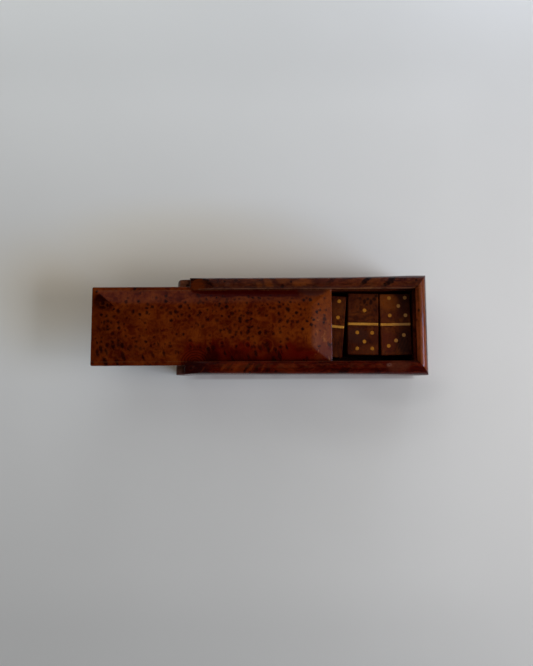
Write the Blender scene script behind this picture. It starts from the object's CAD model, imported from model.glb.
import math

import bpy
import bmesh
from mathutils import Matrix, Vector


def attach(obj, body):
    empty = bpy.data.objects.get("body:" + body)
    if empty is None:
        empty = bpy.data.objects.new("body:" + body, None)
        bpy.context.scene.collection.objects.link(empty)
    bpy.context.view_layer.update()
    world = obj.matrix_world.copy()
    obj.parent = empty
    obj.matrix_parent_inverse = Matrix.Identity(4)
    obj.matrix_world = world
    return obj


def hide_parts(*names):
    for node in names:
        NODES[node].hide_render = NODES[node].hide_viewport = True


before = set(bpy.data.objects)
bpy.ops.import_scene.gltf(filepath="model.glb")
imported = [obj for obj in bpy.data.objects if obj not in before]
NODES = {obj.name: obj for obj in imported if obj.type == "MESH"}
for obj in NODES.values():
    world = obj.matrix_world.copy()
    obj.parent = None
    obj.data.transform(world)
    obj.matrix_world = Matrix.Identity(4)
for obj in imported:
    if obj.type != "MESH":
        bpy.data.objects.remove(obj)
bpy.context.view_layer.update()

MM = 0.001


# ---------------------------------------------------------------- camera
cam_data = bpy.data.cameras.new("camera")
cam_data.sensor_fit = "HORIZONTAL"
cam_data.sensor_width = 36.0
cam_data.lens = 36.0 * 539.0 / 533.0
cam_data.clip_start = 0.01
cam_data.clip_end = 20.0
cam_data.dof.use_dof = False
cam = bpy.data.objects.new("camera", cam_data)
bpy.context.scene.collection.objects.link(cam)
cam.location = (-0.0252, -0.0466, 0.4732)
cam.rotation_euler = (math.radians(5.388), math.radians(0.341), math.radians(-0.227))
bpy.context.scene.camera = cam


# ---------------------------------------------------------------- small helpers
def clamp(v, a, b):
    return max(a, min(b, v))


def smooth(a, b, v):
    t = clamp((v - a) / (b - a), 0.0, 1.0)
    return t * t * (3 - 2 * t)


def smin(a, b, k):
    h = max(k - abs(a - b), 0.0) / k
    return min(a, b) - h * h * k * 0.25


def fillet(points, radii, segs=4):
    """A closed outline with its corners rounded; a corner of radius 0 keeps one point."""
    out = []
    n = len(points)
    for i in range(n):
        p = Vector(points[i])
        r = radii[i]
        if r <= 0:
            out.append((p.x, p.y))
            continue
        a = Vector(points[i - 1]) - p
        b = Vector(points[(i + 1) % n]) - p
        la, lb = a.length, b.length
        a.normalize()
        b.normalize()
        half = math.acos(clamp(a.dot(b), -1, 1)) / 2
        d = min(r / max(math.tan(half), 1e-6), 0.48 * la, 0.48 * lb)
        rr = d * math.tan(half)
        c = p + (a + b).normalized() * (rr / max(math.sin(half), 1e-6))
        s, e = p + a * d - c, p + b * d - c
        sa, ea = math.atan2(s.y, s.x), math.atan2(e.y, e.x)
        da = (ea - sa + math.pi) % (2 * math.pi) - math.pi
        for k in range(segs + 1):
            t = sa + da * k / segs
            out.append((c.x + rr * math.cos(t), c.y + rr * math.sin(t)))
    return out


def inset(points, d):
    """The outline moved inwards by d along its corners' normals; the outline runs either way."""
    n = len(points)
    area = sum(points[i][0] * points[(i + 1) % n][1] - points[(i + 1) % n][0] * points[i][1] for i in range(n))
    sign = 1.0 if area > 0 else -1.0
    out = []
    for i in range(n):
        p = Vector(points[i])
        e1 = p - Vector(points[i - 1])
        e2 = Vector(points[(i + 1) % n]) - p
        if e1.length < 1e-9:
            e1 = e2
        if e2.length < 1e-9:
            e2 = e1
        nrm = Vector((-e1.y, e1.x)).normalized() + Vector((-e2.y, e2.x)).normalized()
        if nrm.length < 1e-6:
            nrm = Vector((-e1.y, e1.x))
        nrm.normalize()
        q = p + nrm * d * sign
        out.append((q.x, q.y))
    return out


def loft(name, loops, bodies, nodes):
    """A closed mesh through a list of closed loops of points in millimetres."""
    bm = bmesh.new()
    rings = [[bm.verts.new((x * MM, y * MM, z * MM)) for x, y, z in loop] for loop in loops]
    k = len(rings[0])
    for r0, r1 in zip(rings, rings[1:]):
        for i in range(k):
            bm.faces.new((r0[i], r0[(i + 1) % k], r1[(i + 1) % k], r1[i]))
    bm.faces.new(list(reversed(rings[0])))
    bm.faces.new(rings[-1])
    return finish_mesh(name, bm, bodies, nodes)


def finish_mesh(name, bm, body, nodes, angle=38.0):
    bmesh.ops.remove_doubles(bm, verts=bm.verts, dist=1e-7)
    big = [f for f in bm.faces if len(f.verts) > 4]
    bmesh.ops.triangulate(bm, faces=big)
    bmesh.ops.recalc_face_normals(bm, faces=bm.faces)
    for f in bm.faces:
        f.smooth = True
    lim = math.radians(angle)
    for e in bm.edges:
        e.smooth = not (len(e.link_faces) == 2 and e.calc_face_angle(0.0) > lim)
    me = bpy.data.meshes.new(name)
    bm.to_mesh(me)
    bm.free()
    ob = bpy.data.objects.new(name, me)
    bpy.context.scene.collection.objects.link(ob)
    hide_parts(*nodes)
    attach(ob, body)
    return ob


# ---------------------------------------------------------------- the box's dimensions, as in the CAD (mm)
HALF_L, HALF_W, H = 100.9, 40.2, 50.0
SIDE_T, END_T, FLOOR_T, REB = 11.4, 9.4, 6.0, 3.0
IN_X, IN_Y = HALF_L - END_T, HALF_W - SIDE_T
GZ, GD, GTOP, LIPZ = 38.6, 3.3, 43.4, 44.2
RIM_R, RAMP, FLARE = 8.0, 20.0, 80.0
# back wall 1, front wall -1
END_R, END_DROP = {1: 7.0, -1: 4.0}, {1: 7.0, -1: 3.0}
WAIST = {1: 1.4, -1: 0.9}
LOW = {1: 11.6, -1: 8.0}


def waist(x, side):
    """How much thinner a long wall is than at the closed end."""
    t = clamp((x - IN_X + FLARE) / FLARE, 0.0, 1.0)
    d = WAIST[side] * (1 - t * t)
    if side < 0:
        d += 0.45 * smooth(-101, -85, x) * (1 - smooth(-70, -10, x))
    return d


def wobble(a, b):
    """A slow unevenness of a hand-sanded surface, 0 to 1."""
    return 0.5 + 0.25 * (math.sin(a * 0.071 + b * 0.19 + 1.3) + math.sin(a * 0.163 - b * 0.11 + 4.1))


def rim_outline(w, groove):
    """Section of a wall: u outwards from the cavity face (0 to 1 across the thickness), z up."""
    arc = [(0.2 + 0.8 * math.sin(a * math.pi / 36), H - RIM_R * (1 - math.cos(a * math.pi / 36))) for a in range(1, 18)]
    pts = [(REB, 0), (REB, FLOOR_T), (0, FLOOR_T), (0, GZ), (groove, GZ), (groove, GTOP), (0, LIPZ), (0, H - 2.4), (0.18 * w, H - 0.2)]
    rad = [0.25, 0.1, 0.3, 0.35, 0.1, 0.1, 0.4, 0.7, 0.9]
    pts += [(u * w, z) for u, z in arc] + [(w, H - RIM_R), (w, 0)]
    rad += [0] * len(arc) + [0, 1.2]
    return fillet(pts, rad, 4)


def shape_long(p, x, side):
    """A section point of a long wall at x: planed slimmer, sloped down towards the open end."""
    u, z = p
    d = x + HALF_L - LOW[side]
    top = LIPZ + 0.8 + d * (H - LIPZ - 0.8) / RAMP if d < RAMP else H + (d - RAMP) * 0.3
    if d < 1.0:
        top -= 1.0 - math.sqrt(max(0.0, 1 - (1 - d) ** 2))
    if z > GZ + 2:
        z = smin(z, top, 0.5)
    if d < 3 and z > GTOP - 0.3:
        u = max(u, 3 - math.sqrt(max(0.0, 9 - (3 - d) ** 2)))
    k = waist(x, side)
    if u > 4:
        u = smin(u, SIDE_T - k, 1.5 * k + 0.01)
    u -= 0.10 * smooth(4, 10, u) * wobble(x, z + 30 * side)
    if z > 46:
        z -= 0.10 * smooth(46, 49, z) * wobble(x * 1.3 + 40 * side, u)
    return u, z


def long_wall(name, side):
    out = rim_outline(SIDE_T, GD)
    x0 = -HALF_L + LOW[side]
    main = []
    # the shoulder at the open end, then along the wall to the mitre
    xs = [(0.0, 0.30), (0.10, 0.12), (0.30, 0.0), (0.6, 0), (1.0, 0), (1.6, 0), (2.3, 0), (3.0, 0)]
    xs += [(4.0 + 1.0 * i, 0) for i in range(20)]
    n = 52
    xs += [(24.0 + (IN_X - 6 - x0 - 24.0) * i / n, 0) for i in range(n + 1)]
    for d, ins in xs:
        x = x0 + d
        sec = [shape_long(p, x, side) for p in out]
        if ins:
            sec = inset(sec, ins)
        main.append([(x, side * (IN_Y + u), z) for u, z in sec])
    for back, ins in ((2.0, 0.0), (0.14, 0.0), (0.0, 0.13)):
        sec0 = [shape_long(p, IN_X, side) for p in out]
        if ins:
            sec0 = inset(sec0, ins)
        main.append([(IN_X + END_T * clamp(u, -1, SIDE_T) / SIDE_T - back, side * (IN_Y + u), z) for u, z in sec0])
    # the low end beyond the shoulder
    low = []
    r, drop = END_R[side], END_DROP[side]
    stations = [(-HALF_L + r * (1 - math.cos(math.radians(a))), GZ - drop * (1 - math.sin(math.radians(a))), 0.0) for a in (0, 4, 10, 18, 27, 36, 46, 56, 67, 78, 90)]
    stations[0] = (-HALF_L, stations[0][1], 0.35)
    stations[1] = (stations[1][0], stations[1][1], 0.08)
    stations += [(-HALF_L + r + (LOW[side] + 0.6 - r) * i / 5, GZ, 0.0) for i in range(1, 6)]
    for x, zt, ins in stations:
        w = SIDE_T - waist(x, side) - 0.10 * wobble(x, 30 * side)
        # the back wall's outer corner is worn round
        if side > 0 and x + HALF_L < 3.0:
            w -= 3.0 - math.sqrt(9.0 - (3.0 - x - HALF_L) ** 2)
        zt -= 0.05 * wobble(x * 3, 12 * side)
        sec = fillet([(REB, 0), (REB, zt), (w, zt), (w, 0)], [0.2, 0.25, 1.3, 0.6], 5)
        if ins:
            sec = inset(sec, ins)
        low.append([(x, side * (IN_Y + u), z) for u, z in sec])
    bm = bmesh.new()
    for loops in (main, low):
        rings = [[bm.verts.new((x * MM, y * MM, z * MM)) for x, y, z in loop] for loop in loops]
        k = len(rings[0])
        for r0, r1 in zip(rings, rings[1:]):
            for i in range(k):
                bm.faces.new((r0[i], r0[(i + 1) % k], r1[(i + 1) % k], r1[i]))
        bm.faces.new(list(reversed(rings[0])))
        bm.faces.new(rings[-1])
    return finish_mesh(name, bm, "box", [name.replace("wood_", "")])


def right_wall():
    out = rim_outline(END_T, GD + 0.3)
    loops = []
    n = 26
    for i in range(-n, n + 1):
        s = i / n
        sec = out
        loops.append((s, 0.0, 0.0, sec))
    full = []
    full.append([(IN_X + u, -(IN_Y + u * SIDE_T / END_T), z) for u, z in inset(out, 0.13)])
    full.append([(IN_X + u, -(IN_Y + u * SIDE_T / END_T) + 0.14, z) for u, z in out])
    for s, _, _, sec in loops[1:-1]:
        full.append([(IN_X + u - 0.10 * smooth(3, 7, u) * wobble(s * 38, z), s * (IN_Y + u * SIDE_T / END_T), z - 0.10 * smooth(46, 49, z) * wobble(s * 50, 9)) for u, z in sec])
    full.append([(IN_X + u, (IN_Y + u * SIDE_T / END_T) - 0.14, z) for u, z in out])
    full.append([(IN_X + u, (IN_Y + u * SIDE_T / END_T), z) for u, z in inset(out, 0.13)])
    return loft("wood_right_end_wall", full, "box", ["right_end_wall"])


def left_wall():
    arc = [(-HALF_L + END_R[1] * (1 - math.cos(math.radians(a))), GZ - END_DROP[1] * (1 - math.sin(math.radians(a)))) for a in range(0, 91, 6)] + [(-IN_X, GZ)]
    pts = [(-IN_X - REB, 0), (-HALF_L, 0)] + arc + [(-IN_X, FLOOR_T), (-IN_X - REB, FLOOR_T)]
    rad = [0.2, 0.5] + [0] * (len(arc) - 1) + [0.3, 0.2, 0.1]
    out = fillet(pts, rad, 4)
    full = []
    w = IN_Y + REB
    for y, ins in [(-w, 0.1), (-w + 0.12, 0)] + [(-w + 2 + (2 * w - 4) * i / 20, 0) for i in range(21)] + [(w - 0.12, 0), (w, 0.1)]:
        sec = inset(out, ins) if ins else out
        full.append([(x, y, z) for x, z in sec])
    return loft("wood_left_end_wall", full, "box", ["left_end_wall"])


# ---------------------------------------------------------------- the lid
LID_L, LID_W, LID_Z, LID_EDGE, LID_MID = 193.6, 63.7, 38.8, 4.2, 9.6
LID_X = IN_X + GD + 0.3 - 0.5 - 69.6 - LID_L / 2


def soften(knots, v, r):
    """A piecewise-linear profile, averaged over a window of half-width r."""
    def f(t):
        if t <= knots[0][0]:
            return knots[0][1] + (t - knots[0][0]) * 0.16
        for (a, ha), (b, hb) in zip(knots, knots[1:]):
            if t <= b:
                return ha + (hb - ha) * (t - a) / (b - a)
        return knots[-1][1]
    n = 7
    tot = wsum = 0.0
    for i in range(-n, n + 1):
        w = 1 - (i / (n + 1)) ** 2
        tot += w * f(v + r * i / n)
        wsum += w
    return tot / wsum


def lid_top(x, y):
    """Height of the lid's upper side over its underside; x and y from the lid's middle."""
    iy = LID_W / 2 - abs(y)
    ix = LID_L / 2 - abs(x)
    rise = LID_MID - LID_EDGE
    r_y = 0.4 + 2.6 * smooth(4, 13, iy)
    r_x = 0.3 + 4.0 * smooth(4, 14, ix)
    zy = soften([(0, 0), (3.2, 0.5), (14, rise - 0.95), (22, rise - 0.35), (31.85, rise - 0.05)], iy, r_y)
    zx = soften([(0, 0), (17, rise - 0.95), (34, rise - 0.35), (96, rise + 0.0)], ix, r_x)
    z = smin(zy, zx, 0.5)
    z -= 0.10 * smooth(2, 12, min(ix, iy)) * wobble(x, y * 1.7)
    z = LID_EDGE + min(z, rise) - 0.02
    # eased outer edge
    e = min(ix, iy)
    if e < 0.5:
        z -= 0.5 - math.sqrt(max(0.0, 0.25 - (0.5 - e) ** 2))
    return z


def lines(half, step):
    ins = [0.0, 0.05, 0.17, 0.32, 0.5, 0.9, 1.6, 2.4, 3.2, 4.0]
    inner = half - ins[-1]
    n = int(round(2 * inner / step))
    mid = [-inner + 2 * inner * i / n for i in range(n + 1)]
    return [-half + i for i in ins[:-1]] + mid + [half - i for i in reversed(ins[:-1])]


def make_lid():
    xs, ys = lines(LID_L / 2, 1.0), lines(LID_W / 2, 0.9)
    bm = bmesh.new()

    def place(x, y, z):
        ix, iy = LID_L / 2 - abs(x), LID_W / 2 - abs(y)
        r = 1.1
        if ix < r and iy < r:
            dx, dy = r - ix, r - iy
            dist = math.hypot(dx, dy)
            lim = max(dx, dy)
            if dist > 1e-9:
                dx, dy = dx * lim / dist, dy * lim / dist
            x = math.copysign(LID_L / 2 - r + dx, x)
            y = math.copysign(LID_W / 2 - r + dy, y)
        return bm.verts.new(((LID_X + x) * MM, y * MM, (LID_Z + z) * MM))

    top = [[place(x, y, lid_top(x, y)) for y in ys] for x in xs]
    bot = []
    for x in xs:
        row = []
        for y in ys:
            e = min(LID_L / 2 - abs(x), LID_W / 2 - abs(y))
            z = 0.0
            if e < 0.5:
                z = 0.5 - math.sqrt(max(0.0, 0.25 - (0.5 - e) ** 2))
            row.append(place(x, y, z))
        bot.append(row)
    nx, ny = len(xs), len(ys)
    for i in range(nx - 1):
        for j in range(ny - 1):
            bm.faces.new((top[i][j], top[i + 1][j], top[i + 1][j + 1], top[i][j + 1]))
            bm.faces.new((bot[i][j], bot[i][j + 1], bot[i + 1][j + 1], bot[i + 1][j]))
    for i in range(nx - 1):
        bm.faces.new((top[i][0], bot[i][0], bot[i + 1][0], top[i + 1][0]))
        bm.faces.new((top[i][-1], top[i + 1][-1], bot[i + 1][-1], bot[i][-1]))
    for j in range(ny - 1):
        bm.faces.new((top[0][j], top[0][j + 1], bot[0][j + 1], bot[0][j]))
        bm.faces.new((top[-1][j], bot[-1][j], bot[-1][j + 1], top[-1][j + 1]))
    return finish_mesh("burl_lid", bm, "lid", ["lid"], angle=50)


walls = [long_wall("wood_back_wall", 1), long_wall("wood_front_wall", -1), right_wall(), left_wall()]
lid = make_lid()


# ---------------------------------------------------------------- node materials
class Tree:
    """Short hand for building a node material."""

    def __init__(self, name):
        self.mat = bpy.data.materials.new(name)
        self.mat.use_nodes = True
        self.t = self.mat.node_tree
        self.t.nodes.clear()
        self.out = self.t.nodes.new("ShaderNodeOutputMaterial")
        self.bsdf = self.t.nodes.new("ShaderNodeBsdfPrincipled")
        self.t.links.new(self.bsdf.outputs["BSDF"], self.out.inputs["Surface"])

    def put(self, socket, value):
        if isinstance(value, bpy.types.NodeSocket):
            self.t.links.new(value, socket)
        elif value is not None:
            socket.default_value = value

    def coords(self):
        n = self.t.nodes.new("ShaderNodeTexCoord")
        m = self.t.nodes.new("ShaderNodeMapping")
        m.inputs["Scale"].default_value = (1000, 1000, 1000)
        self.t.links.new(n.outputs["Object"], m.inputs["Vector"])
        return m.outputs["Vector"]

    def mapping(self, vec, loc=(0, 0, 0), rot=(0, 0, 0), scale=(1, 1, 1)):
        m = self.t.nodes.new("ShaderNodeMapping")
        self.put(m.inputs["Vector"], vec)
        m.inputs["Location"].default_value = loc
        m.inputs["Rotation"].default_value = rot
        m.inputs["Scale"].default_value = scale
        return m.outputs["Vector"]

    def noise(self, vec, scale, detail=3.0, rough=0.5, dist=0.0, color=False):
        n = self.t.nodes.new("ShaderNodeTexNoise")
        n.noise_dimensions = "3D"
        self.put(n.inputs["Vector"], vec)
        n.inputs["Scale"].default_value = scale
        n.inputs["Detail"].default_value = detail
        n.inputs["Roughness"].default_value = rough
        n.inputs["Distortion"].default_value = dist
        return n.outputs["Color" if color else "Fac"]

    def voronoi(self, vec, scale, rand=1.0, feature="F1", dims="3D"):
        n = self.t.nodes.new("ShaderNodeTexVoronoi")
        n.voronoi_dimensions = dims
        n.feature = feature
        self.put(n.inputs["Vector"], vec)
        n.inputs["Scale"].default_value = scale
        n.inputs["Randomness"].default_value = rand
        return n.outputs

    def math(self, op, a, b=None, c=None, clamp_it=False):
        n = self.t.nodes.new("ShaderNodeMath")
        n.operation = op
        n.use_clamp = clamp_it
        for s, v in zip(n.inputs, (a, b, c)):
            self.put(s, v)
        return n.outputs[0]

    def vmath(self, op, a, b=None, scale=None):
        n = self.t.nodes.new("ShaderNodeVectorMath")
        n.operation = op
        self.put(n.inputs[0], a)
        if b is not None:
            self.put(n.inputs[1], b)
        if scale is not None:
            self.put(n.inputs["Scale"], scale)
        return n.outputs["Value"] if op in ("LENGTH", "DOT_PRODUCT", "DISTANCE") else n.outputs["Vector"]

    def step(self, v, a, b, lo=0.0, hi=1.0):
        n = self.t.nodes.new("ShaderNodeMapRange")
        n.interpolation_type = "SMOOTHSTEP"
        self.put(n.inputs["Value"], v)
        self.put(n.inputs["From Min"], a)
        self.put(n.inputs["From Max"], b)
        n.inputs["To Min"].default_value = lo
        n.inputs["To Max"].default_value = hi
        return n.outputs["Result"]

    def ramp(self, v, stops, mode="LINEAR"):
        n = self.t.nodes.new("ShaderNodeValToRGB")
        n.color_ramp.interpolation = mode
        e = n.color_ramp.elements
        while len(e) < len(stops):
            e.new(0.5)
        for el, (pos, col) in zip(e, stops):
            el.position = pos
            el.color = (*col, 1.0)
        self.put(n.inputs["Fac"], v)
        return n.outputs["Color"]

    def mix(self, f, a, b, mode="MIX"):
        n = self.t.nodes.new("ShaderNodeMix")
        n.data_type = "RGBA"
        n.blend_type = mode
        n.clamp_factor = True
        self.put(n.inputs["Factor"], f)
        ins = [s for s in n.inputs if s.type == "RGBA"]
        self.put(ins[0], a if isinstance(a, bpy.types.NodeSocket) else (*a, 1.0))
        self.put(ins[1], b if isinstance(b, bpy.types.NodeSocket) else (*b, 1.0))
        return [s for s in n.outputs if s.type == "RGBA"][0]

    def sep(self, vec):
        n = self.t.nodes.new("ShaderNodeSeparateXYZ")
        self.put(n.inputs[0], vec)
        return n.outputs

    def warp(self, vec, scale, amount, detail=2.0):
        c = self.noise(vec, scale, detail, color=True)
        d = self.vmath("SUBTRACT", c, (0.5, 0.5, 0.5))
        return self.vmath("ADD", vec, self.vmath("SCALE", d, scale=amount))

    def blob(self, vec, centre, size, lo=1.0, hi=0.0, turn=0.0):
        """1 inside an ellipsoid, 0 outside, with a soft edge; turned in plan by so many degrees."""
        d = self.vmath("SUBTRACT", vec, centre)
        if turn:
            d = self.mapping(d, rot=(0.0, 0.0, math.radians(-turn)))
        d = self.vmath("DIVIDE", d, size)
        return self.step(self.vmath("LENGTH", d), hi, lo, 1.0, 0.0)

    def bump(self, height, strength, dist, normal=None):
        n = self.t.nodes.new("ShaderNodeBump")
        n.inputs["Strength"].default_value = strength
        n.inputs["Distance"].default_value = dist
        self.put(n.inputs["Height"], height)
        if normal is not None:
            self.put(n.inputs["Normal"], normal)
        return n.outputs["Normal"]

    def finish(self, color, rough, normal, coat=0.0, coat_rough=0.1, ior=1.5, spec=0.5):
        b = self.bsdf
        self.put(b.inputs["Base Color"], color)
        self.put(b.inputs["Roughness"], rough)
        if normal is not None:
            self.put(b.inputs["Normal"], normal)
        b.inputs["Coat Weight"].default_value = coat
        b.inputs["Coat Roughness"].default_value = coat_rough
        b.inputs["IOR"].default_value = ior
        b.inputs["Specular IOR Level"].default_value = spec
        return self.mat


def burl_material():
    m = Tree("thuya_burl")
    p = m.coords()
    xyz = m.sep(p)
    w1 = m.warp(p, 0.040, 12.0)
    w2 = m.warp(w1, 0.12, 5.0)
    w3 = m.warp(w2, 0.60, 1.0)
    # ground: glowing orange-brown with red-brown clouds
    cloud = m.noise(w1, 0.045, 2.0, 0.5)
    mid = m.noise(w2, 0.115, 2.0, 0.5)
    fine = m.noise(w3, 0.8, 3.0, 0.55)
    tone = m.math("MULTIPLY_ADD", cloud, 0.52, m.math("MULTIPLY_ADD", mid, 0.50, m.math("MULTIPLY", fine, 0.14)))
    col = m.ramp(tone, [(0.44, (0.054, 0.0034, 0.0004)), (0.52, (0.085, 0.0072, 0.0006)), (0.59, (0.120, 0.0140, 0.0010)), (0.72, (0.178, 0.0290, 0.0022))])
    # a brighter glow towards the right end
    east = m.math("MULTIPLY_ADD", m.noise(p, 0.05, 2.0), 18.0, xyz["X"])
    col = m.mix(m.step(east, 2.0, 26.0, 0.0, 0.62), col, (0.225, 0.0440, 0.0042))
    col = m.mix(m.step(xyz["X"], -154.0, -162.0, 0.0, 0.40), col, (0.160, 0.0185, 0.0008))
    # curls of fine figure
    phase = m.math("MULTIPLY_ADD", m.noise(w2, 0.17, 1.0), 18.0, m.math("MULTIPLY", m.noise(w3, 0.55, 1.0), 3.0))
    curl = m.math("SINE", phase)
    col = m.mix(m.step(curl, 0.0, 1.0, 0.0, 0.34), col, (0.046, 0.0026, 0.0005))
    col = m.mix(m.step(curl, -0.2, -1.0, 0.0, 0.24), col, (0.195, 0.036, 0.003))
    mottle = m.noise(w3, 0.34, 2.0, 0.5)
    col = m.mix(m.step(mottle, 0.54, 0.70, 0.0, 0.26), col, (0.190, 0.0290, 0.0020))
    col = m.mix(m.step(mottle, 0.46, 0.32, 0.0, 0.34), col, (0.062, 0.0050, 0.0005))
    # fibres that run across the lid
    fib = m.noise(m.mapping(w2, scale=(1.0, 0.12, 0.5)), 0.9, 2.0, 0.5)
    col = m.mix(m.math("MULTIPLY", m.step(fib, 0.54, 0.70, 0.0, 0.36), m.step(xyz["Y"], 6.0, -12.0, 0.35, 1.0)), col, (0.042, 0.0020, 0.0005))
    # dark red margins: the front one wide, with flames of the ground licking into it, the back one narrow
    edge = m.math("MULTIPLY_ADD", m.noise(p, 0.06, 2.0), 16.0, xyz["Y"])
    brush = m.math("MULTIPLY_ADD", m.noise(m.mapping(w1, scale=(1.0, 0.20, 0.5)), 0.30, 3.0), 13.0, edge)
    brush = m.math("MULTIPLY_ADD", m.step(xyz["X"], -16.0, 6.0), 4.2, brush)
    right_of = m.step(m.math("MULTIPLY_ADD", m.noise(p, 0.05, 1.0), 20.0, xyz["X"]), -92.0, -72.0)
    south = m.math("MULTIPLY", m.step(brush, 5.8, -3.6), right_of)
    col = m.mix(m.math("MULTIPLY", south, m.step(mid, 0.34, 0.68, 0.96, 0.76)), col, (0.087, 0.0017, 0.0002))
    deep = m.math("MULTIPLY", m.step(m.noise(w2, 0.075, 1.0), 0.50, 0.62), south)
    col = m.mix(m.math("MULTIPLY", deep, 0.60), col, (0.036, 0.0006, 0.0002))
    low = m.math("MULTIPLY", m.step(xyz["Y"], -26.0, -29.5), right_of)
    col = m.mix(m.math("MULTIPLY", low, 0.60), col, (0.033, 0.0004, 0.0001))
    nedge = m.math("MULTIPLY_ADD", m.noise(p, 0.10, 2.0), 3.0, xyz["Y"])
    nspan = m.math("MULTIPLY", m.step(xyz["X"], -92.0, -74.0), m.step(xyz["X"], 1.0, -6.0))
    col = m.mix(m.math("MULTIPLY", m.math("MULTIPLY", m.step(nedge, 23.2, 25.2), nspan), 0.45), col, (0.060, 0.0030, 0.0003))
    north = m.math("MULTIPLY", m.step(nedge, 23.8, 25.2), nspan)
    col = m.mix(m.math("MULTIPLY", north, m.step(mottle, 0.36, 0.62, 0.98, 0.82)), col, (0.056, 0.0005, 0.0001))
    # a swirl of rings at the front edge
    c = m.vmath("SUBTRACT", m.warp(p, 0.12, 3.0), (-84.0, -29.5, 44.0))
    c = m.vmath("MULTIPLY", c, (1.0, 1.15, 0.2))
    dist = m.vmath("LENGTH", c)
    rings = m.step(m.math("SINE", m.math("MULTIPLY_ADD", m.noise(w2, 0.25, 2.0), 3.5, m.math("MULTIPLY", dist, 2.7))), -0.5, 0.8, 0.0, 1.0)
    zone = m.step(dist, 16.0, 10.0)
    col = m.mix(m.math("MULTIPLY", zone, 0.80), col, (0.112, 0.0074, 0.0005))
    col = m.mix(m.math("MULTIPLY", m.math("MULTIPLY", zone, rings), 0.70), col, (0.034, 0.0006, 0.0001))
    nook = m.blob(w2, (-72.0, -25.0, 44.0), (8.0, 11.0, 14.0), 1.0, 0.35)
    col = m.mix(m.math("MULTIPLY", nook, 0.80), col, (0.018, 0.0004, 0.0002))
    near = m.warp(m.warp(p, 0.16, 3.5), 0.5, 1.0)
    hill = m.blob(near, (-26.0, -15.0, 46.0), (11.5, 10.0, 14.0), 1.0, 0.35)
    col = m.mix(m.math("MULTIPLY", hill, 0.72), col, (0.066, 0.0032, 0.0003))
    around = m.vmath("LENGTH", m.vmath("MULTIPLY", m.vmath("SUBTRACT", near, (-27.5, -16.5, 46.0)), (1.0, 0.85, 0.1)))
    lick = m.step(m.math("SINE", m.math("MULTIPLY", around, 1.55)), 0.2, 0.9)
    col = m.mix(m.math("MULTIPLY", m.math("MULTIPLY", hill, lick), 0.45), col, (0.150, 0.0210, 0.0014))
    core = m.blob(near, (-27.5, -15.5, 46.0), (3.2, 3.8, 14.0), 1.0, 0.35)
    col = m.mix(m.math("MULTIPLY", core, 0.85), col, (0.022, 0.0008, 0.0003))
    shade = m.blob(w2, (-53.0, -24.0, 44.0), (17.0, 7.5, 14.0), 1.0, 0.35)
    col = m.mix(m.math("MULTIPLY", shade, m.step(fib, 0.40, 0.60, 0.75, 0.40)), col, (0.028, 0.0007, 0.0002))
    haze = m.blob(m.warp(p, 0.20, 3.0), (9.5, 28.5, 44.0), (15.0, 6.5, 14.0), 1.0, 0.50)
    col = m.mix(m.math("MULTIPLY", haze, 0.82), col, (0.058, 0.0140, 0.0110))
    # the right facet: pale wisps over a greyer ground
    facet = m.math("MULTIPLY", m.step(xyz["X"], 9.0, 13.0), m.step(xyz["Y"], 22.0, -6.0, 0.25, 1.0))
    wisp = m.noise(m.mapping(w3, rot=(0.0, 0.0, 0.5), scale=(1.0, 0.45, 0.6)), 0.36, 3.0, 0.6)
    col = m.mix(m.math("MULTIPLY", facet, m.step(wisp, 0.56, 0.44, 0.0, 0.62)), col, (0.130, 0.0182, 0.0034))
    col = m.mix(m.math("MULTIPLY", facet, m.step(wisp, 0.58, 0.70, 0.0, 0.46)), col, (0.400, 0.122, 0.030))
    # dark clouds: the facet at the far left corner, and the left part's middle
    hip = m.math("SUBTRACT", m.math("SUBTRACT", 31.85, xyz["Y"]), m.math("MULTIPLY", m.math("ADD", xyz["X"], 168.6), 0.82))
    nw = m.math("MULTIPLY", m.step(hip, -0.3, 0.4), m.blob(m.warp(p, 0.16, 2.5), (-157.0, 20.3, 43.5), (12.8, 9.2, 14.0), 1.0, 0.62))
    col = m.mix(m.math("MULTIPLY", nw, m.step(mid, 0.40, 0.66, 0.98, 0.76)), col, (0.020, 0.0008, 0.0003))
    streak = m.blob(w2, (-157.0, -2.5, 44.0), (13.0, 2.8, 14.0), 1.0, 0.30)
    col = m.mix(m.math("MULTIPLY", streak, m.step(mid, 0.36, 0.62, 0.85, 0.45)), col, (0.034, 0.0018, 0.0003))
    ml = m.blob(w1, (-137.0, 9.0, 46.0), (19.0, 12.0, 14.0), 1.0, 0.20)
    col = m.mix(m.math("MULTIPLY", ml, m.step(mid, 0.38, 0.66, 0.85, 0.40)), col, (0.044, 0.0018, 0.0003))
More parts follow.
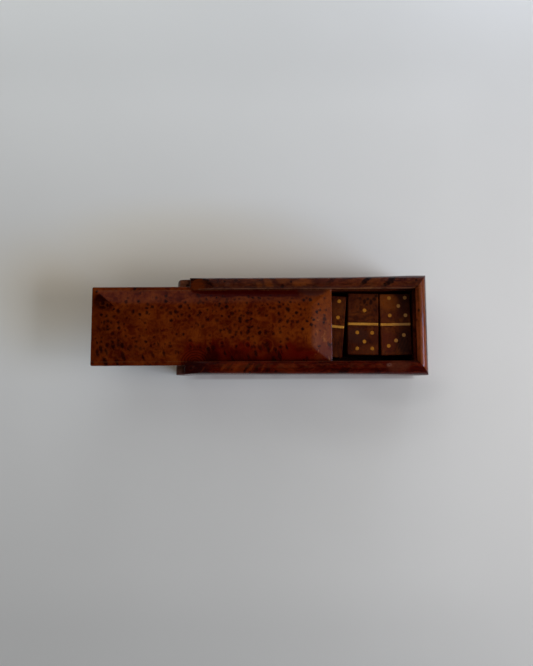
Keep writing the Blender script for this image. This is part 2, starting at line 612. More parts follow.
    # eyes: dark knots gathered in flocks, drawn out near the front edge
    wf = m.warp(p, 0.08, 6.0)
    flock = m.math("MULTIPLY", m.step(m.noise(wf, 0.04, 1.0), 0.42, 0.60), 0.38)
    for centre, size in (((-125.0, 11.0, 46.0), (6.5, 6.0, 30.0)), ((-109.0, 11.0, 46.0), (6.0, 5.0, 30.0)), ((-95.0, 12.0, 46.0), (11.0, 9.0, 30.0)),
                         ((-79.0, 11.0, 46.0), (7.5, 15.0, 30.0)), ((-149.0, 0.5, 46.0), (10.0, 4.0, 30.0)), ((-149.0, -12.0, 46.0), (8.0, 6.0, 30.0)),
                         ((-134.0, -14.0, 46.0), (14.0, 8.0, 30.0)), ((-117.0, -9.0, 46.0), (5.0, 4.5, 30.0)), ((-52.0, 11.0, 46.0), (22.0, 13.0, 30.0)),
                         ((-46.0, -5.0, 46.0), (24.0, 6.0, 30.0)), ((-12.0, 10.0, 46.0), (19.0, 14.0, 30.0)), ((14.0, 2.0, 46.0), (10.0, 14.0, 30.0)), ((-30.0, 21.0, 46.0), (50.0, 4.0, 30.0))):
        flock = m.math("MAXIMUM", flock, m.blob(wf, centre, size, 1.05, 0.75))
    veil = m.math("MULTIPLY", m.step(flock, 0.45, 1.0), m.step(m.noise(w2, 0.16, 2.0), 0.42, 0.62))
    col = m.mix(m.math("MULTIPLY", veil, 0.34), col, (0.060, 0.0040, 0.0006))
    eyes = None
    halo = None
    wp = m.warp(m.warp(p, 0.32, 2.0), 0.90, 1.0)
    for scale, r0, cut, stretch, seed in ((0.195, 1.56, 0.83, 1.0, 0.0), (0.170, 1.66, 1.03, 0.8, 51.0), (0.205, 1.74, 0.50, 0.42, 113.0)):
        turned = m.mapping(wp, rot=(0.0, 0.0, -0.28)) if stretch == 0.42 else wp
        v = m.voronoi(m.mapping(turned, loc=(seed, seed * 0.37, 0.0), scale=(1.0, stretch, 1.0)), scale, dims="2D")
        d = m.math("DIVIDE", v["Distance"], scale)
        rc = m.sep(v["Color"])
        here = m.math("GREATER_THAN", m.math("MULTIPLY_ADD", flock, 0.62, rc["X"]), cut)
        r = m.math("MULTIPLY_ADD", rc["Y"], 0.62 * r0, 0.50 * r0)
        if stretch == 0.42:
            here = m.math("MULTIPLY", here, m.math("MULTIPLY", m.step(edge, -5.0, -9.0), m.math("MULTIPLY_ADD", zone, -0.85, 1.0)))
        else:
            here = m.math("MULTIPLY", here, m.step(edge, -14.0, -9.0))
        here = m.math("MULTIPLY", here, m.math("MULTIPLY_ADD", north, -0.50, 1.0))
        n = m.math("SUBTRACT", d, r)
        e = m.math("MULTIPLY", m.math("MULTIPLY", m.step(n, -0.95, 0.35, 1.0, 0.0), here), m.math("MULTIPLY_ADD", rc["Z"], 0.35, 0.65))
        h = m.math("MULTIPLY", m.math("MULTIPLY", m.step(n, 0.2, 0.9), m.step(n, 1.0, 2.4, 1.0, 0.0)), here)
        if stretch == 0.42:
            h = m.math("MULTIPLY", h, 0.15)
        eyes = e if eyes is None else m.math("MAXIMUM", eyes, e)
        halo = h if halo is None else m.math("MAXIMUM", halo, h)
    col = m.mix(m.math("MULTIPLY", m.math("MULTIPLY", halo, m.math("MULTIPLY_ADD", north, -1.0, 1.0)), 0.28), col, (0.195, 0.0320, 0.0026))
    col = m.mix(m.math("MULTIPLY", eyes, 0.95), col, (0.0130, 0.0007, 0.0006))
    # the two lines rubbed by the lips
    line = m.math("ABSOLUTE", m.math("SUBTRACT", m.math("ABSOLUTE", xyz["Y"]), 28.7))
    line = m.math("MULTIPLY", m.step(line, 0.12, 0.45, 1.0, 0.0), m.step(m.noise(p, 0.11, 2.0), 0.30, 0.55))
    line = m.math("MULTIPLY", line, m.step(xyz["Z"], 42.0, 42.6))
    col = m.mix(m.math("MULTIPLY", line, 0.35), col, (0.20, 0.060, 0.016))
    # worn, paler outer edge
    wear = m.math("MAXIMUM", m.step(m.math("ABSOLUTE", xyz["Y"]), 31.25, 31.75), m.step(m.math("ABSOLUTE", m.math("SUBTRACT", xyz["X"], LID_X)), LID_L / 2 - 0.6, LID_L / 2 - 0.1))
    wear = m.math("MULTIPLY", wear, m.step(m.noise(p, 0.35, 2.0), 0.35, 0.62))
    col = m.mix(m.math("MULTIPLY", wear, 0.40), col, (0.16, 0.040, 0.008))
    # pores and a barely rippled varnish
    pores = m.noise(w3, 4.0, 2.0, 0.6)
    height = m.math("MULTIPLY_ADD", eyes, -0.5, m.math("MULTIPLY", pores, 0.25))
    height = m.math("ADD", height, m.math("MULTIPLY", m.noise(p, 0.12, 2.0), 1.6))
    nrm = m.bump(height, 0.20, 0.00010)
    rough = m.math("MULTIPLY_ADD", eyes, 0.10, m.math("MULTIPLY_ADD", m.noise(p, 0.5, 3.0), 0.10, 0.10))
    rough = m.math("MULTIPLY_ADD", line, 0.12, rough)
    return m.finish(col, rough, nrm, coat=0.0, spec=0.5)


def wall_material(name, along="x", patches=(), dark=1.0, figure=1.0, rough0=0.14, tint=(1.0, 1.0, 1.0), spec=0.5):
    m = Tree(name)
    p = m.coords()
    xyz = m.sep(p)
    # q: the grain runs along its X
    q = p if along == "x" else m.mapping(p, rot=(0.0, 0.0, math.radians(90)))
    w1 = m.warp(q, 0.03, 10.0)
    w2 = m.warp(w1, 0.20, 3.0)
    w3 = m.warp(w2, 0.60, 0.8)
    grain = m.noise(m.mapping(w2, rot=(0.0, 0.0, 0.10), scale=(0.18, 1.0, 0.8)), 0.42, 5.0, 0.62)
    fine = m.noise(m.mapping(w3, scale=(0.10, 1.0, 1.0)), 3.0, 3.0, 0.6)
    cloud = m.noise(m.mapping(w1, scale=(0.7, 1.0, 1.0)), 0.070, 3.0, 0.55)
    tone = m.math("MULTIPLY_ADD", grain, 0.55, m.math("MULTIPLY_ADD", cloud, 0.60, m.math("MULTIPLY", fine, 0.16)))
    # the outer sides show more of the figure than the rims
    side = m.math("MAXIMUM", m.step(m.math("ABSOLUTE", xyz["Y"]), 36.0, 38.0), m.step(m.math("ABSOLUTE", xyz["X"]), 96.5, 98.5))
    side = m.math("MULTIPLY", side, m.step(xyz["Z"], 38.5, 32.0))
    tone = m.math("MULTIPLY_ADD", side, 0.075, tone)
    shades = ((0.48, (0.020, 0.0012, 0.0007)), (0.60, (0.042, 0.0034, 0.0012)), (0.70, (0.072, 0.0076, 0.0014)), (0.84, (0.125, 0.0210, 0.0028)))
    col = m.ramp(tone, [(t, tuple(dark * a * b for a, b in zip(k, tint))) for t, k in shades])
    if dark > 1.2:
        col = m.mix(m.math("MULTIPLY", side, 0.50), col, (0.060, 0.0085, 0.0030))
    else:
        col = m.mix(m.math("MULTIPLY", side, m.step(tone, 0.55, 0.85, 0.20, 0.60)), col, (0.125, 0.0260, 0.0060))
    # the front wall is redder, the back wall browner
    back = m.step(xyz["Y"], -30.0, 34.0, 0.0, 0.22)
    col = m.mix(back, col, (0.095 * dark, 0.027 * dark, 0.0120 * dark))
    # slanted dark strokes
    st = m.noise(m.mapping(w2, rot=(0.0, 0.0, -0.85), scale=(0.22, 1.0, 0.6)), 0.26, 2.0)
    col = m.mix(m.math("MULTIPLY", m.step(st, 0.60, 0.70), 0.62 * figure), col, (0.016, 0.0016, 0.0011))
    st2 = m.noise(m.mapping(w2, rot=(0.0, 0.0, -0.60), scale=(0.20, 1.0, 0.6), loc=(31.0, 7.0, 0.0)), 0.45, 2.0)
    col = m.mix(m.math("MULTIPLY", m.step(st2, 0.58, 0.72), 0.40 * figure), col, (0.125, 0.030 * tint[1], 0.0042 * tint[2]))
    # short slanted flecks
    fleck = m.noise(m.mapping(w3, rot=(0.0, 0.0, -0.7), scale=(0.34, 1.0, 0.8)), 0.85, 3.0, 0.6)
    col = m.mix(m.math("MULTIPLY", m.step(fleck, 0.47, 0.36), 0.42 * figure), col, (0.024, 0.0022, 0.0009))
    col = m.mix(m.math("MULTIPLY", m.step(fleck, 0.54, 0.66), 0.40 * figure), col, (0.150, 0.042 * tint[1], 0.0085 * tint[2]))
    # patches of other colour, each with a soft and ragged edge
    pw = m.warp(m.warp(p, 0.12, 3.6), 0.45, 2.0)
    for centre, size, turn, shade, amount in patches:
        f = m.blob(pw, centre, size, 1.0, 0.50, turn)
        f = m.math("MULTIPLY", f, m.math("MULTIPLY", m.step(fine, 0.30, 0.60, 0.65, 1.0), m.step(grain, 0.34, 0.56, 0.55, 1.0)))
        col = m.mix(m.math("MULTIPLY", f, amount), col, shade)
    # small eyes with a paler ring
    v = m.voronoi(m.warp(p, 0.6, 1.6), 0.15)
    d = m.math("DIVIDE", v["Distance"], 0.15)
    rc = m.sep(v["Color"])
    r = m.math("MULTIPLY_ADD", rc["X"], 1.6, -0.25)
    n = m.math("SUBTRACT", d, r)
    eye = m.step(n, -0.5, 0.30, 1.0, 0.0)
    ring = m.math("MULTIPLY", m.step(n, 0.2, 0.6), m.step(n, 0.7, 1.6, 1.0, 0.0))
    ring = m.math("MULTIPLY", ring, m.step(r, 0.1, 0.5))
    col = m.mix(m.math("MULTIPLY", ring, 0.14 * figure), col, (0.130, 0.032 * tint[1], 0.0050 * tint[2]))
    col = m.mix(m.math("MULTIPLY", eye, 0.75 * figure), col, (0.012, 0.0012, 0.0009))
    # the rim's crest is rubbed a little paler, and its lower edges hold dirt
    crest = m.math("MULTIPLY", m.step(xyz["Z"], 49.2, 49.9), m.step(m.noise(p, 0.22, 3.0), 0.42, 0.62))
    col = m.mix(m.math("MULTIPLY", crest, 0.18), col, (0.150, 0.045, 0.016))
    foot = m.math("MULTIPLY", m.step(xyz["Z"], 2.6, 0.4), m.step(m.noise(p, 0.25, 3.0), 0.30, 0.60))
    col = m.mix(m.math("MULTIPLY", foot, 0.55), col, (0.012, 0.0040, 0.0025))
    arris = m.math("MULTIPLY", m.step(m.math("ABSOLUTE", m.math("SUBTRACT", m.math("ABSOLUTE", xyz["Y"]), 29.15)), 0.55, 0.20), m.step(xyz["Z"], 46.4, 47.2))
    arris = m.math("MULTIPLY", arris, m.step(m.noise(p, 0.10, 2.0), 0.34, 0.56, 0.3, 1.0))
    col = m.mix(m.math("MULTIPLY", arris, m.step(xyz["Y"], -20.0, 20.0, 0.10, 0.45)), col, (0.20, 0.085, 0.045))
    height = m.math("MULTIPLY_ADD", fine, 0.5, m.math("MULTIPLY", m.noise(p, 0.15, 2.0), 1.2))
    nrm = m.bump(height, 0.22, 0.00011)
    rough = m.math("MULTIPLY_ADD", m.noise(p, 0.6, 3.0), 0.14, rough0)
    return m.finish(col, rough, nrm, spec=spec)


def domino_material(name, gain=1.0):
    m = Tree(name)
    p = m.coords()
    w1 = m.warp(p, 0.05, 12.0)
    w2 = m.warp(w1, 0.20, 4.5)
    w3 = m.warp(w2, 0.60, 0.9)
    grain = m.noise(m.mapping(w2, scale=(1.0, 0.30, 1.0)), 0.42, 4.0, 0.6)
    fine = m.noise(m.mapping(w3, scale=(1.0, 0.26, 1.0)), 2.6, 3.0, 0.6)
    cloud = m.noise(w1, 0.060, 2.0)
    tone = m.math("MULTIPLY_ADD", grain, 0.55, m.math("MULTIPLY_ADD", cloud, 0.50, m.math("MULTIPLY", fine, 0.26)))
    col = m.ramp(tone, [(t, tuple(gain * c for c in k)) for t, k in ((0.48, (0.024, 0.0026, 0.0010)), (0.60, (0.056, 0.0078, 0.0016)), (0.70, (0.094, 0.0165, 0.0024)), (0.84, (0.160, 0.0380, 0.0050)))])
    # wavy lines of growth
    wave = m.math("SINE", m.math("MULTIPLY_ADD", m.noise(w2, 0.13, 2.0), 34.0, m.math("MULTIPLY", fine, 3.0)))
    col = m.mix(m.step(wave, 0.20, 1.0, 0.0, 0.52), col, (0.020, 0.0022, 0.0009))
    # each half has its own shade
    for centre, size, turn, shade, amount in (
            ((46.0, -8.0, 37.3), (11.0, 8.0, 7.0), 0, (0.050, 0.0130, 0.0070), 0.65), ((52.0, -20.0, 37.3), (12.0, 6.0, 7.0), 5, (0.105, 0.0190, 0.0032), 0.60),
            ((60.0, -9.0, 37.3), (4.0, 8.0, 7.0), 0, (0.050, 0.0070, 0.0030), 0.50),
            ((71.5, 20.0, 37.3), (13.0, 8.5, 7.0), -20, (0.185, 0.0400, 0.0032), 0.66), ((84.0, 16.0, 37.3), (8.0, 12.0, 7.0), 0, (0.058, 0.0095, 0.0045), 0.60),
            ((75.0, 8.0, 37.3), (11.0, 4.0, 7.0), 0, (0.060, 0.0080, 0.0036), 0.60),
            ((71.5, -13.0, 37.3), (7.5, 12.0, 7.0), 0, (0.085, 0.0120, 0.0044), 0.65), ((84.5, -13.0, 37.3), (8.0, 12.0, 7.0), 0, (0.038, 0.0090, 0.0060), 0.65),
            ((30.0, 14.0, 37.3), (8.0, 10.0, 7.0), 0, (0.105, 0.0230, 0.0034), 0.40)):
        f = m.blob(m.warp(p, 0.15, 3.0), centre, size, 1.0, 0.55, turn)
        col = m.mix(m.math("MULTIPLY", f, amount), col, tuple(gain * c for c in shade))
    # lines that flow along the strip of the middle domino, and slanted ones on the last
    flow = m.math("SINE", m.math("MULTIPLY", m.sep(m.warp(m.warp(p, 0.055, 16.0), 0.3, 1.5))["Y"], 1.8))
    f = m.math("MULTIPLY", m.blob(p, (50.0, 8.5, 37.3), (13.5, 5.5, 7.0), 1.0, 0.6), m.step(flow, 0.0, 1.0))
    col = m.mix(m.math("MULTIPLY", f, 0.42), col, (0.024, 0.0030, 0.0010))
    f = m.math("MULTIPLY", m.blob(p, (50.0, 8.5, 37.3), (13.5, 5.5, 7.0), 1.0, 0.6), m.step(flow, 0.1, -0.9))
    col = m.mix(m.math("MULTIPLY", f, 0.38), col, (0.135, 0.0290, 0.0036))
    slant = m.math("SINE", m.math("MULTIPLY", m.sep(m.mapping(m.warp(p, 0.12, 3.0), rot=(0.0, 0.0, 0.45)))["X"], 2.4))
    f = m.math("MULTIPLY", m.blob(p, (83.0, -16.0, 37.3), (7.0, 10.0, 7.0), 1.0, 0.6), m.step(slant, 0.1, 1.0))
    col = m.mix(m.math("MULTIPLY", f, 0.55), col, (0.014, 0.0020, 0.0012))
    # swirls round small knots, in nests
    v = m.voronoi(m.warp(p, 0.4, 1.6), 0.150)
    d = m.math("DIVIDE", v["Distance"], 0.150)
    rc = m.sep(v["Color"])
    n = m.math("SUBTRACT", d, m.math("MULTIPLY_ADD", rc["X"], 0.9, 0.5))
    eye = m.step(n, -0.55, 0.45, 1.0, 0.0)
    ring = m.math("MULTIPLY", m.step(n, 0.2, 0.7), m.step(n, 0.9, 2.0, 1.0, 0.0))
    flock = m.step(m.noise(m.warp(p, 0.05, 8.0), 0.05, 1.0), 0.50, 0.60)
    flock = m.math("MULTIPLY", flock, 0.6)
    nest = m.blob(m.warp(p, 0.2, 3.0), (54.0, 20.0, 37.3), (9.0, 6.5, 3.0), 1.0, 0.5)
    nest = m.math("MAXIMUM", nest, m.blob(p, (31.0, -17.5, 37.3), (5.0, 5.0, 3.0), 1.0, 0.5))
    flock = m.math("MAXIMUM", flock, nest)
    col = m.mix(m.math("MULTIPLY", m.math("MULTIPLY", ring, flock), 0.50), col, (0.150, 0.034, 0.0050))
    col = m.mix(m.math("MULTIPLY", m.math("MULTIPLY", eye, flock), 0.80), col, (0.018, 0.0018, 0.0009))
    knot = m.warp(m.warp(p, 0.16, 2.2), 0.5, 0.8)
    f = m.blob(knot, (56.5, 20.5, 37.3), (8.5, 5.5, 7.0), 1.0, 0.5)
    col = m.mix(m.math("MULTIPLY", f, 0.50), col, (0.118, 0.0230, 0.0032))
    for x, y, rx, ry in ((52.3, 20.0, 1.5, 2.5), (55.2, 22.0, 1.5, 1.6), (57.6, 19.2, 1.6, 2.3), (60.4, 21.8, 1.9, 1.7), (54.2, 17.2, 1.3, 0.9), (62.2, 24.2, 2.2, 1.3), (49.0, 22.5, 1.0, 1.2)):
        col = m.mix(m.math("MULTIPLY", m.blob(knot, (x, y, 37.3), (rx * 1.15, ry * 1.15, 7.0), 1.0, 0.45), 0.90), col, (0.013, 0.0011, 0.0005))
    for centre, size, turn, amount in (((60.0, 12.6, 37.3), (2.8, 1.5, 2.0), 15, 0.90), ((28.4, -15.5, 37.3), (1.5, 2.8, 4.0), 0, 0.80), ((32.2, -15.5, 37.3), (1.5, 2.8, 4.0), 10, 0.80), ((34.0, 6.0, 37.3), (1.0, 6.0, 4.0), 10, 0.45)):
        f = m.math("MULTIPLY", m.blob(w3, centre, size, 1.0, 0.30, turn), m.step(fine, 0.30, 0.55, 0.7, 1.0))
        col = m.mix(m.math("MULTIPLY", f, amount), col, (0.014, 0.0018, 0.0010))
    nrm = m.bump(m.math("MULTIPLY_ADD", fine, 0.5, m.math("MULTIPLY", m.noise(p, 0.2, 2.0), 1.0)), 0.22, 0.00010)
    rough = m.math("MULTIPLY_ADD", m.noise(p, 0.7, 3.0), 0.16, 0.22)
    return m.finish(col, rough, nrm, spec=0.40)


def lemon_material(name, gain=1.0):
    m = Tree(name)
    p = m.coords()
    w = m.warp(p, 0.3, 1.2)
    fine = m.noise(m.mapping(w, scale=(0.25, 1.0, 1.0)), 2.6, 3.0, 0.6)
    cloud = m.noise(p, 0.14, 2.0)
    col = m.mix(m.step(fine, 0.30, 0.75), (0.33 * gain, 0.108 * gain, 0.0070 * gain), (0.50 * gain, 0.190 * gain, 0.0140 * gain))
    # the strips, along the middle of each stack, are paler than the pips
    bar = m.step(m.math("ABSOLUTE", m.math("SUBTRACT", m.sep(p)["Y"], 0.7)), 3.6, 3.0)
    pale = m.mix(m.step(fine, 0.30, 0.75), (0.46 * gain, 0.180 * gain, 0.0200 * gain), (0.66 * gain, 0.305 * gain, 0.0480 * gain))
    col = m.mix(bar, col, pale)
    col = m.mix(m.step(cloud, 0.40, 0.66, 0.0, 0.40), col, (0.30 * gain, 0.110 * gain, 0.0120 * gain))
    # greyer towards the right end of the box
    grey = m.step(m.sep(p)["X"], 70.0, 86.0, 0.0, 0.85)
    col = m.mix(grey, col, (0.52 * gain, 0.255 * gain, 0.0850 * gain))
    nrm = m.bump(fine, 0.15, 0.00008)
    rough = m.math("MULTIPLY_ADD", fine, 0.10, 0.30)
    return m.finish(col, rough, nrm, spec=0.40)


burl = burl_material()
ORANGE, MAROON, INK = (0.155, 0.0320, 0.0036), (0.030, 0.0026, 0.0018), (0.010, 0.0010, 0.0008)
FLAME, GREY = (0.150, 0.0190, 0.0016), (0.165, 0.0660, 0.0480)
back_wood = wall_material("thuya_back", tint=(0.95, 0.88, 0.70), patches=(
    ((-64.0, 34.5, 48.0), (24.0, 9.0, 16.0), 0, MAROON, 0.50), ((-26.0, 34.0, 48.0), (3.4, 7.0, 12.0), 35, ORANGE, 0.75),
    ((-16.0, 36.0, 48.0), (9.0, 4.0, 12.0), 0, ORANGE, 0.70), ((1.0, 34.0, 48.0), (10.0, 4.4, 12.0), 12, (0.185, 0.0360, 0.0036), 0.85), ((-33.0, 32.0, 48.0), (3.0, 5.0, 12.0), 40, ORANGE, 0.55),
    ((-20.5, 34.5, 48.0), (2.0, 7.0, 12.0), 35, MAROON, 0.85), ((56.0, 34.5, 48.0), (10.0, 9.0, 14.0), 0, ORANGE, 0.40),
    ((14.0, 35.0, 48.0), (5.0, 4.0, 12.0), 0, MAROON, 0.70), ((23.5, 34.4, 48.0), (7.0, 2.0, 9.0), 40, INK, 1.3), ((24.0, 34.5, 48.0), (14.0, 8.0, 12.0), 0, (0.070, 0.0110, 0.0060), 0.50),
    ((51.5, 34.8, 48.0), (7.4, 2.4, 9.0), 42, INK, 1.5), ((70.5, 34.4, 48.0), (9.0, 2.8, 9.0), 36, INK, 1.6),
    ((36.0, 36.5, 48.0), (8.0, 1.8, 9.0), 15, MAROON, 0.85), ((43.0, 28.7, 46.6), (30.0, 1.2, 3.4), 0, (0.215, 0.0680, 0.0180), 0.92), ((-52.0, 36.0, 48.0), (1.6, 5.0, 9.0), -20, INK, 0.55),
    ((-66.0, 35.0, 48.0), (1.3, 6.0, 9.0), 15, INK, 0.50), ((-58.0, 33.0, 48.0), (3.6, 2.2, 9.0), 0, (0.110, 0.040, 0.022), 0.40),
    ((80.0, 35.5, 48.0), (6.0, 3.0, 12.0), 20, MAROON, 0.70), ((-15.1, 31.4, 49.0), (2.0, 1.7, 3.0), 0, INK, 0.98),
    ((-73.5, 34.0, 47.0), (1.9, 8.5, 12.0), 44, INK, 0.95), ((-82.5, 33.0, 46.0), (7.5, 8.0, 8.0), 30, (0.132, 0.0175, 0.0003), 0.88),
    ((-83.0, 37.8, 46.0), (8.0, 1.5, 8.0), 14, INK, 0.80), ((-87.0, 36.5, 46.0), (2.2, 3.4, 8.0), -35, INK, 0.60),
    ((-96.0, 35.0, 38.0), (5.6, 9.0, 4.0), 0, (0.195, 0.0640, 0.0310), 0.90), ((-96.8, 36.0, 38.0), (2.2, 1.5, 5.0), 20, (0.290, 0.0900, 0.0450), 0.60),
    ((-94.5, 38.6, 38.0), (3.0, 1.0, 5.0), 15, MAROON, 0.70), ((-92.4, 33.0, 38.0), (1.9, 2.4, 5.0), 0, INK, 0.98), ((-99.6, 34.0, 38.0), (1.3, 6.0, 6.0), 0, (0.075, 0.050, 0.046), 0.80)))
front_wood = wall_material("thuya_front", tint=(0.90, 0.36, 0.28), spec=0.26, patches=(
    ((-83.0, -34.0, 46.0), (16.0, 9.0, 8.0), 0, (0.016, 0.0030, 0.0034), 0.92), ((-50.0, -34.0, 46.0), (17.0, 9.0, 16.0), 0, FLAME, 0.45),
    ((-78.0, -35.0, 46.0), (4.0, 1.0, 9.0), 48, FLAME, 0.45), ((-86.0, -33.5, 46.0), (3.0, 1.0, 9.0), 40, (0.080, 0.0240, 0.0160), 0.55),
    ((-61.0, -33.5, 48.0), (5.5, 1.4, 9.0), 50, FLAME, 0.90), ((-51.0, -33.5, 48.0), (5.5, 1.4, 9.0), 50, FLAME, 0.85),
    ((-56.0, -33.0, 48.0), (5.5, 1.1, 9.0), 50, INK, 0.70), ((-43.0, -34.0, 48.0), (6.0, 1.7, 9.0), 56, INK, 0.95),
    ((-35.0, -34.0, 48.0), (6.0, 1.7, 9.0), 60, INK, 0.92), ((-39.0, -33.0, 48.0), (5.0, 1.1, 9.0), 58, FLAME, 0.85),
    ((-30.0, -33.5, 48.0), (5.0, 1.2, 9.0), 60, FLAME, 0.70), ((-26.5, -35.5, 48.0), (2.6, 2.0, 9.0), 30, INK, 0.80),
    ((-12.0, -34.0, 46.0), (12.0, 6.0, 12.0), 0, FLAME, 0.35), ((-4.0, -36.0, 48.0), (5.0, 1.2, 9.0), -20, INK, 0.45),
    ((34.0, -36.0, 46.0), (6.5, 2.6, 10.0), 20, INK, 0.95), ((76.0, -33.0, 48.0), (12.0, 6.0, 12.0), 0, (0.085, 0.0190, 0.0085), 0.75),
    ((68.5, -32.0, 49.0), (2.8, 1.7, 3.0), 0, (0.18, 0.085, 0.062), 0.60), ((68.5, -32.0, 49.0), (1.1, 0.7, 3.0), 0, MAROON, 0.80),
    ((-95.0, -35.0, 39.0), (7.0, 9.0, 6.0), 0, (0.092, 0.0350, 0.0310), 0.95), ((-99.8, -35.2, 38.0), (6.2, 9.0, 6.0), 0, GREY, 0.95)))
end_wood = wall_material("thuya_end", along="y", dark=1.55, spec=0.42, patches=(
    ((95.0, 0.0, 51.6), (7.0, 62.0, 7.0), 0, (0.215, 0.0440, 0.0060), 0.90), ((95.2, -20.0, 51.6), (4.6, 26.0, 7.0), 0, (0.280, 0.0660, 0.0220), 0.65),
    ((101.8, 0.0, 42.0), (5.8, 62.0, 10.0), 0, (0.030, 0.0030, 0.0012), 0.98), ((91.6, 0.0, 49.5), (1.7, 62.0, 4.0), 0, (0.370, 0.0720, 0.0200), 0.92),
    ((96.0, 4.0, 52.0), (1.0, 9.0, 7.0), 3, MAROON, 0.50), ((94.6, -14.0, 52.0), (0.8, 8.0, 7.0), -3, MAROON, 0.40)))
low_wood = wall_material("thuya_low", along="y")
floor_wood = wall_material("thuya_floor", dark=0.8, figure=0.5, rough0=0.42)
domino_wood = domino_material("domino_wood")
domino_pale = domino_material("domino_wood_pale", 1.22)
lemonwood = lemon_material("lemonwood", 1.07)
lemon_pale = lemon_material("lemonwood_pale", 1.20)


def assign(ob, mat):
    ob.data.materials.clear()
    ob.data.materials.append(mat)


for w, mat in zip(walls, (back_wood, front_wood, end_wood, low_wood)):
    assign(w, mat)
assign(lid, burl)
for name, ob in NODES.items():
    if name.startswith("domino_"):
        assign(ob, domino_pale if "_s7_" in name else domino_wood)
    elif name.startswith("inlay"):
        assign(ob, lemon_pale if "_s7_" in name else lemonwood)
    elif name == "floor_panel":
        assign(ob, floor_wood)


# ---------------------------------------------------------------- floor
def make_floor():
    bm = bmesh.new()
    n, rings, radius = 96, 18, 0.72
    middle = bm.verts.new((0.0, 0.0, 0.0))
    last = None
    for j in range(1, rings + 1):
        r = radius * j / rings
        loop = [bm.verts.new((r * math.cos(2 * math.pi * i / n), r * math.sin(2 * math.pi * i / n), 0.0)) for i in range(n)]
        for i in range(n):
            k = (i + 1) % n
            bm.faces.new((middle, loop[i], loop[k]) if last is None else (last[i], loop[i], loop[k], last[k]))
        last = loop
    me = bpy.data.meshes.new("floor")
    bm.to_mesh(me)
    bm.free()
    ob = bpy.data.objects.new("floor", me)
    bpy.context.scene.collection.objects.link(ob)
    m = Tree("pale_surface")
    p = m.coords()
    col = m.mix(m.noise(p, 0.01, 2.0), (0.820, 0.788, 0.745), (0.855, 0.823, 0.780))
    # a little paler in a broad band across the picture, except close to the box
    xyz = m.sep(p)
    near = m.math("MAXIMUM", m.blob(p, (-30.0, 65.0, 0.0), (175.0, 62.0, 9.0), 1.0, 0.35), m.blob(p, (45.0, -60.0, 0.0), (100.0, 58.0, 9.0), 1.0, 0.35))
    band = m.math("MULTIPLY", m.step(m.math("ABSOLUTE", xyz["Y"]), 258.0, 200.0), m.math("MULTIPLY_ADD", near, -1.0, 1.0))
    left = m.math("MULTIPLY", m.step(xyz["X"], -165.0, -240.0), m.step(m.math("ABSOLUTE", m.math("ADD", xyz["Y"], 60.0)), 150.0, 60.0))
    band = m.math("MULTIPLY", band, m.step(xyz["X"], 195.0, 130.0, 0.30, 1.0))
    gain = m.math("MULTIPLY_ADD", band, 0.062, m.math("MULTIPLY_ADD", left, 0.050, 1.0))
    gain = m.math("MULTIPLY_ADD", m.blob(p, (85.0, -50.0, 0.0), (56.0, 22.0, 9.0), 1.0, 0.30), -0.08, gain)
    # the wood casts a warm light to the left and the back; the front foot stands in a thin dark line
    warm = m.math("MAXIMUM", m.blob(p, (-225.0, 30.0, 0.0), (100.0, 85.0, 9.0), 1.0, 0.20), m.blob(p, (-110.0, 70.0, 0.0), (170.0, 62.0, 9.0), 1.0, 0.30))
    col = m.mix(m.math("MULTIPLY", warm, 0.92), col, (0.822, 0.760, 0.664))
    contact = m.math("MULTIPLY", m.step(xyz["Y"], -43.6, -41.2), m.step(xyz["Y"], -36.0, -37.0))
    contact = m.math("MULTIPLY", contact, m.math("MULTIPLY", m.step(xyz["X"], -101.0, -82.0), m.step(xyz["X"], 102.5, 98.0)))
    contact = m.math("MULTIPLY", contact, m.step(m.noise(p, 0.06, 2.0), 0.30, 0.60, 0.80, 1.0))
    col = m.mix(contact, col, (0.600, 0.530, 0.500))
    col = m.vmath("SCALE", col, scale=gain)
    nrm = m.bump(m.noise(p, 1.2, 3.0), 0.08, 0.0002)
    assign(ob, m.finish(col, 0.75, nrm, spec=0.25))
    return ob


make_floor()


# ---------------------------------------------------------------- light
def area(name, loc, target, size, size_y, radiance, color, glossy=False, diffuse=True):
    d = bpy.data.lights.new(name, "AREA")
    d.shape = "RECTANGLE"
    d.size = size
    d.size_y = size_y
    d.energy = radiance * math.pi * size * size_y
    d.color = color
    o = bpy.data.objects.new(name, d)
    bpy.context.scene.collection.objects.link(o)
    o.location = loc
    o.rotation_euler = (Vector(target) - Vector(loc)).to_track_quat("-Z", "Y").to_euler()
    o.visible_glossy = glossy
    o.visible_diffuse = diffuse
    o.visible_camera = False
    return o


CENTRE = (0.0, 0.0, 0.0)
# soft light from the right, one near and one further off, for the shading
area("key_near", (0.520, -0.064, 0.386), CENTRE, 0.23, 0.23, 7.05, (1.0, 0.985, 1.0))
area("key_far", (4.311, -1.820, 1.804), CENTRE, 2.61, 2.61, 6.25, (0.74, 0.97, 1.28))
# weaker fills from the back
area("fill_back", (-0.252, 0.478, 0.260), CENTRE, 0.54, 0.54, 0.97, (0.90, 1.0, 1.08))
area("fill_low", (0.270, 0.554, 0.110), CENTRE, 0.22, 0.20, 5.6, (0.86, 0.97, 1.17))
# the window seen in the varnish
area("window", (1.05, -0.16, 0.62), (0.05, 0.0, 0.0), 0.58, 0.22, 6.8, (0.50, 0.86, 1.62), glossy=True, diffuse=False)

world = bpy.data.worlds.new("world")
bpy.context.scene.world = world
world.use_nodes = True
wt = world.node_tree
wt.nodes.clear()
w_out = wt.nodes.new("ShaderNodeOutputWorld")
w_bg = wt.nodes.new("ShaderNodeBackground")
w_gl = wt.nodes.new("ShaderNodeBackground")
w_mix = wt.nodes.new("ShaderNodeMixShader")
w_path = wt.nodes.new("ShaderNodeLightPath")
w_bg.inputs["Color"].default_value = (1.0, 0.86, 0.66, 1.0)
w_bg.inputs["Strength"].default_value = 0.165
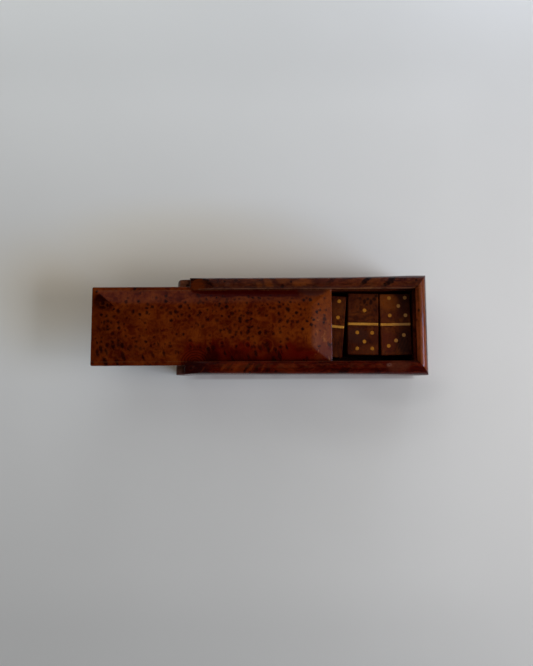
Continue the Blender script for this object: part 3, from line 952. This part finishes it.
# what the varnish reflects: a dark ceiling, paler walls to the back and to the right
w_tc = wt.nodes.new("ShaderNodeTexCoord")
w_sep = wt.nodes.new("ShaderNodeSeparateXYZ")
wt.links.new(w_tc.outputs["Generated"], w_sep.inputs[0])


def wmath(op, a, b=None, c=None):
    n = wt.nodes.new("ShaderNodeMath")
    n.operation = op
    for s, v in zip(n.inputs, (a, b, c)):
        if isinstance(v, bpy.types.NodeSocket):
            wt.links.new(v, s)
        elif v is not None:
            s.default_value = v
    return n.outputs[0]


def wstep(v, a, b, lo, hi):
    n = wt.nodes.new("ShaderNodeMapRange")
    n.interpolation_type = "SMOOTHSTEP"
    wt.links.new(v, n.inputs["Value"])
    n.inputs["From Min"].default_value = a
    n.inputs["From Max"].default_value = b
    n.inputs["To Min"].default_value = lo
    n.inputs["To Max"].default_value = hi
    return n.outputs["Result"]


north = wmath("MULTIPLY", wstep(w_sep.outputs["Y"], 0.35, 0.80, 0.0, 0.11), wstep(w_sep.outputs["X"], -0.22, -0.06, 0.90, 0.50))
east = wmath("MULTIPLY", wstep(w_sep.outputs["X"], 0.28, 0.58, 0.0, 0.50), wstep(w_sep.outputs["Y"], 0.17, 0.05, 0.03, 1.0))
east = wmath("MULTIPLY", east, wstep(w_sep.outputs["Z"], 0.22, 0.62, 0.09, 1.0))
south = wmath("MULTIPLY", wstep(w_sep.outputs["Y"], -0.75, -0.92, 0.0, 0.088), wstep(w_sep.outputs["Z"], 0.40, 0.15, 0.0, 1.0))
w_str = wmath("ADD", wmath("ADD", north, east), south)
wt.links.new(w_str, w_gl.inputs["Strength"])
w_gl.inputs["Color"].default_value = (0.95, 0.97, 1.0, 1.0)
wt.links.new(w_path.outputs["Is Glossy Ray"], w_mix.inputs["Fac"])
wt.links.new(w_bg.outputs[0], w_mix.inputs[1])
wt.links.new(w_gl.outputs[0], w_mix.inputs[2])
# behind the floor stands a plain pale backdrop
w_drop = wt.nodes.new("ShaderNodeBackground")
w_drop.inputs["Color"].default_value = (0.56, 0.57, 0.57, 1.0)
w_drop.inputs["Strength"].default_value = 1.0
w_view = wt.nodes.new("ShaderNodeMixShader")
wt.links.new(w_path.outputs["Is Camera Ray"], w_view.inputs["Fac"])
wt.links.new(w_mix.outputs[0], w_view.inputs[1])
wt.links.new(w_drop.outputs[0], w_view.inputs[2])
wt.links.new(w_view.outputs[0], w_out.inputs["Surface"])

vs = bpy.context.scene.view_settings
vs.view_transform = "Standard"
vs.look = "None"
vs.exposure = 0.0
vs.gamma = 1.0
